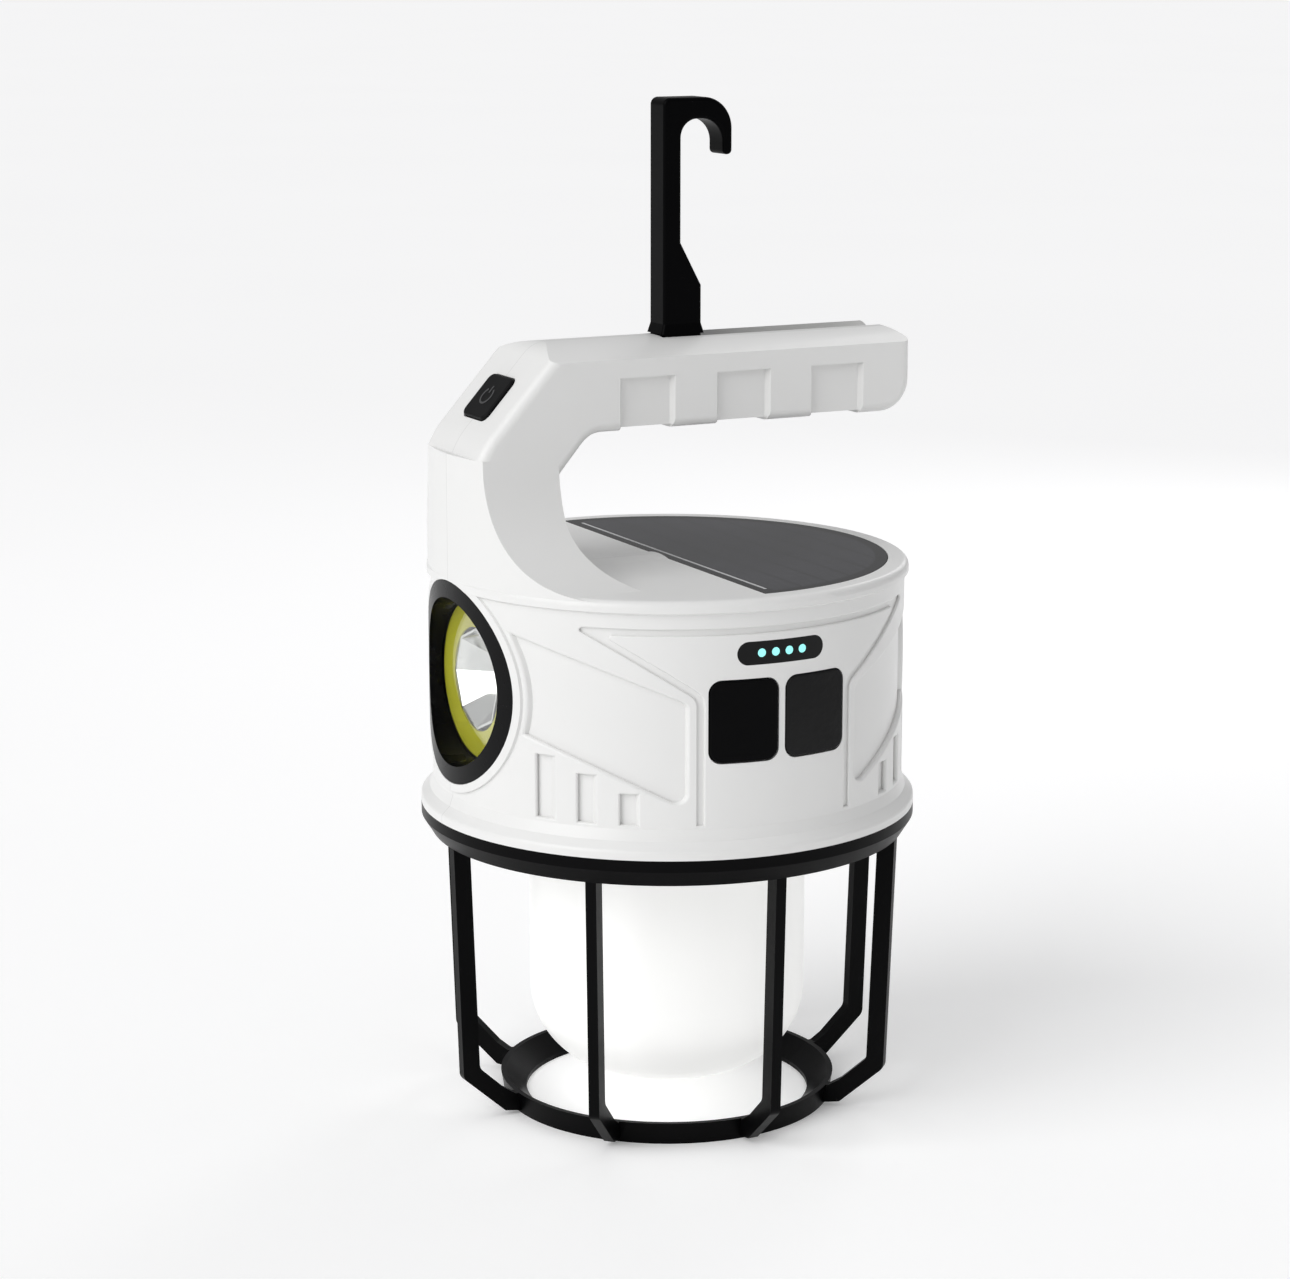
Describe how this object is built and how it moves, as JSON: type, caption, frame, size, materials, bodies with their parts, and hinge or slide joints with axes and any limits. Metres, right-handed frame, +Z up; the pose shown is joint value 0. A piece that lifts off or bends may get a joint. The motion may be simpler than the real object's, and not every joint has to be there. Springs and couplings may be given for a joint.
{
  "type": "solar lantern",
  "caption": "Solar lantern with a caged frosted lamp below, a front torch, a C-shaped carrying handle, a fold-away hanging hook and covered charging sockets.",
  "frame": {"origin": "centre of the underside of the guard ring that the lantern stands on", "axes": "+Z up along the lantern's axis, -X towards the torch, -Y towards the socket covers, +X towards the handle's free end"},
  "size_m": [0.11, 0.11, 0.2235],
  "materials": {
    "housing_white": "satin moulded plastic",
    "guard_black": "satin moulded plastic",
    "hook_black": "satin moulded plastic",
    "channel_white": "satin",
    "bezel_black": "satin gloss",
    "clear_lens": "clear",
    "cob_yellow": "cured phosphor gel",
    "board_aluminium": "brushed",
    "reflector_chrome": "vacuum metallised",
    "led_white": "encapsulated",
    "inner_black": "matt",
    "cover_left_black": "smooth",
    "cover_right_charcoal": "lightly textured",
    "button_rubber": "smooth",
    "port_steel": "plated",
    "board_green": "solder mask",
    "window_black": "polished",
    "indicator_cyan": "lit",
    "solar_glass": "polished laminate",
    "solar_cell": "silicon",
    "busbar_silver": "printed",
    "solar_back": "laminate",
    "cell_sleeve": "shrink sleeve",
    "frosted": "frosted, translucent",
    "seal_rubber": "smooth",
    "screw_steel": "zinc plated",
    "switch_metal": "plain"
  },
  "bodies": {
    "body": {"housing_left": "housing_white", "housing_right": "housing_white", "base_plate": "inner_black", "hook_channel": "channel_white", "hook_pin": "screw_steel", "tactile_switch": "switch_metal", "switch_board": "board_green", "solar_backing": "solar_back", "solar_cells": "solar_cell", "solar_busbar": "busbar_silver", "solar_cover": "solar_glass", "torch_bezel": "bezel_black", "torch_lens": "clear_lens", "cob_ring": "cob_yellow", "cob_board": "board_aluminium", "torch_reflector": "reflector_chrome", "spot_led": "led_white", "spot_board": "board_aluminium", "torch_cup": "inner_black", "usb_a_port": "port_steel", "usb_c_port": "port_steel", "main_board": "board_green", "board_screws": "screw_steel", "indicator_window": "window_black", "light_guides": "indicator_cyan", "indicator_leds": "led_white", "battery_holder": "inner_black", "battery_cells": "cell_sleeve", "guard_collar": "guard_black", "guard_ribs": "guard_black", "guard_foot_ring": "guard_black", "lamp_seal": "seal_rubber", "lamp_diffuser": "frosted", "lamp_board": "board_aluminium", "lamp_leds": "led_white", "heat_spreader": "board_aluminium", "housing_screws": "screw_steel", "base_screws": "screw_steel"},
    "hook": {"hook": "hook_black"},
    "power_button": {"power_button": "button_rubber"},
    "usb_cover_left": {"usb_cover_left": "cover_left_black"},
    "usb_cover_right": {"usb_cover_right": "cover_right_charcoal"}
  },
  "joints": [
    {"name": "hook_fold", "type": "hinge", "parent": "body", "child": "hook", "pos_m": [0, 0, 0.1696], "axis": [0, 1, 0], "range_deg": [0, 90]},
    {"name": "power_button_press", "type": "slide", "parent": "body", "child": "power_button", "axis": [0.7423, 0, -0.6701], "range_m": [0, 0.0008], "stiffness_N_per_m": 1500, "springref_m": -0.0006},
    {"name": "usb_cover_left_open", "type": "hinge", "parent": "body", "child": "usb_cover_left", "pos_m": [-0.0158, -0.05017, 0.0978], "axis": [0, 0, -1], "range_deg": [0, 100]},
    {"name": "usb_cover_right_open", "type": "hinge", "parent": "body", "child": "usb_cover_right", "pos_m": [0.0158, -0.05017, 0.0978], "axis": [0, 0, 1], "range_deg": [0, 100]}
  ]
}
